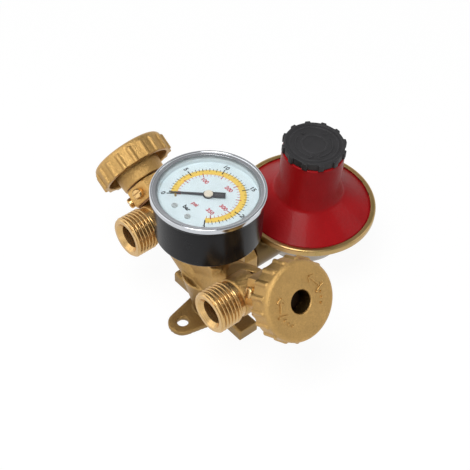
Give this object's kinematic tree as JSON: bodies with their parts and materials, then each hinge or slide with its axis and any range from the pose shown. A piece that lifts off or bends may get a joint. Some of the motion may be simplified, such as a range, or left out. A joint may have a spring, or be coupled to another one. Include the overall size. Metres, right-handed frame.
{
  "type": "gas manifold",
  "caption": "Wall-mounted forged brass gas manifold with handwheel valves, threaded inlets, a round pressure gauge and an adjustable red regulator.",
  "frame": {"origin": "on the foot's wall face, under the gauge's axis", "axes": "+Z out of the wall along the gauge's axis, -Y along the inlets, +X towards the right valve"},
  "size_m": [0.1402, 0.1205, 0.0791],
  "materials": {
    "forged_brass": "matte forged",
    "machined_brass": "bright machined",
    "plain_steel": "plain",
    "seal_rubber": "matte",
    "seal_fibre": "matte",
    "black_case": "glossy black",
    "bezel_chrome": "polished",
    "lens_glass": "clear",
    "dial_white": "printed",
    "pointer_black": "matte",
    "yellow_chromate": "iridescent",
    "red_enamel": "glossy",
    "cap_plastic": "moulded"
  },
  "bodies": {
    "root": {"manifold_body": "forged_brass", "left_inlet_nipple": "machined_brass", "right_inlet_nipple": "machined_brass", "left_bonnet": "forged_brass", "right_bonnet": "forged_brass", "left_bonnet_washer": "seal_fibre", "right_bonnet_washer": "seal_fibre", "left_lock_screws": "machined_brass", "right_lock_screws": "machined_brass", "left_stem_seal": "seal_rubber", "right_stem_seal": "seal_rubber", "gauge_socket": "machined_brass", "gauge_washer": "seal_fibre", "gauge_case": "black_case", "gauge_bezel": "bezel_chrome", "gauge_lens": "lens_glass", "lens_gasket": "seal_rubber", "spacer_ring": "dial_white", "dial_plate": "dial_white", "dial_screws": "machined_brass", "stop_pin": "machined_brass", "movement_frame": "machined_brass", "hairspring": "machined_brass", "bourdon_tube": "machined_brass", "link_nipple": "machined_brass", "link_washer": "seal_fibre", "regulator_body": "yellow_chromate", "regulator_bonnet": "red_enamel", "adjusting_spring": "plain_steel", "diaphragm": "seal_rubber", "lever_pin": "plain_steel", "orifice_nozzle": "machined_brass"},
    "left_plug": {"left_pad_holder": "machined_brass", "left_seat_pad": "seal_rubber"},
    "left_wheel": {"left_handwheel": "forged_brass", "left_stem": "plain_steel", "left_wheel_nut": "plain_steel"},
    "right_plug": {"right_pad_holder": "machined_brass", "right_seat_pad": "seal_rubber"},
    "right_wheel": {"right_handwheel": "forged_brass", "right_stem": "plain_steel", "right_wheel_nut": "plain_steel"},
    "sector": {"sector_gear": "machined_brass"},
    "pointer": {"pointer": "pointer_black", "pointer_boss": "machined_brass", "pinion": "machined_brass"},
    "link": {"bourdon_link": "plain_steel"},
    "spring_seat": {"spring_plate": "plain_steel"},
    "cap": {"adjusting_cap": "cap_plastic"},
    "diaphragm_stack": {"diaphragm_plate": "plain_steel", "diaphragm_stem": "machined_brass"},
    "lever": {"lever": "plain_steel"},
    "slider": {"valve_slider": "machined_brass", "slider_pad": "seal_rubber"}
  },
  "joints": [
    {"name": "left_valve_lift", "type": "slide", "parent": "root", "child": "left_plug", "axis": [-0.8729, 0, 0.4879], "range_m": [0, 0.003]},
    {"name": "left_wheel_turn", "type": "hinge", "parent": "left_plug", "child": "left_wheel", "pos_m": [-0.03, 0, 0.0406], "axis": [-0.8729, 0, 0.4879], "range_deg": [0, 720.05]},
    {"name": "right_valve_lift", "type": "slide", "parent": "root", "child": "right_plug", "axis": [0.8729, 0, 0.4879], "range_m": [0, 0.003]},
    {"name": "right_wheel_turn", "type": "hinge", "parent": "right_plug", "child": "right_wheel", "pos_m": [0.03, 0, 0.0406], "axis": [0.8729, 0, 0.4879], "range_deg": [0, 720.05]},
    {"name": "sector_turn", "type": "hinge", "parent": "root", "child": "sector", "pos_m": [-0.0126, 0, 0.0545], "axis": [0, 0, 1], "range_deg": [0, 45]},
    {"name": "pointer_turn", "type": "hinge", "parent": "root", "child": "pointer", "pos_m": [0, 0, 0.0545], "axis": [0, 0, 1], "range_deg": [-270.01, 0], "deforming": ["hairspring"]},
    {"name": "link_turn", "type": "hinge", "parent": "sector", "child": "link", "pos_m": [-0.0156, 0, 0.0545], "axis": [0, 0, 1], "range_deg": [-45.01, 0], "deforming": ["bourdon_tube"]},
    {"name": "cap_lift", "type": "slide", "parent": "root", "child": "spring_seat", "axis": [0.061, 0, 0.9981], "range_m": [0, 0.0045], "deforming": ["adjusting_spring"]},
    {"name": "cap_turn", "type": "hinge", "parent": "spring_seat", "child": "cap", "pos_m": [0.00244, 0.0608, 0.06493], "axis": [0.061, 0, 0.9981], "range_deg": [0, 1080.05]},
    {"name": "diaphragm_lift", "type": "slide", "parent": "root", "child": "diaphragm_stack", "axis": [0.061, 0, 0.9981], "range_m": [0, 0.0022], "deforming": ["diaphragm", "adjusting_spring"]},
    {"name": "lever_turn", "type": "hinge", "parent": "root", "child": "lever", "pos_m": [-0.00034, 0.0523, 0.01951], "axis": [0.9981, 0, -0.061], "range_deg": [0, 14.87]},
    {"name": "slider_slide", "type": "slide", "parent": "root", "child": "slider", "axis": [0, -1, 0], "range_m": [0, 0.00143]}
  ],
  "couplings": [
    {"joint": "left_wheel_turn", "follows": "left_valve_lift", "rad_per_m": 4188.8},
    {"joint": "right_wheel_turn", "follows": "right_valve_lift", "rad_per_m": 4188.8},
    {"joint": "pointer_turn", "follows": "sector_turn", "ratio": -6},
    {"joint": "link_turn", "follows": "sector_turn", "ratio": -1},
    {"joint": "cap_turn", "follows": "cap_lift", "rad_per_m": 4188.8},
    {"joint": "lever_turn", "follows": "diaphragm_lift", "rad_per_m": 117.98},
    {"joint": "slider_slide", "follows": "diaphragm_lift", "ratio": 0.64888}
  ]
}
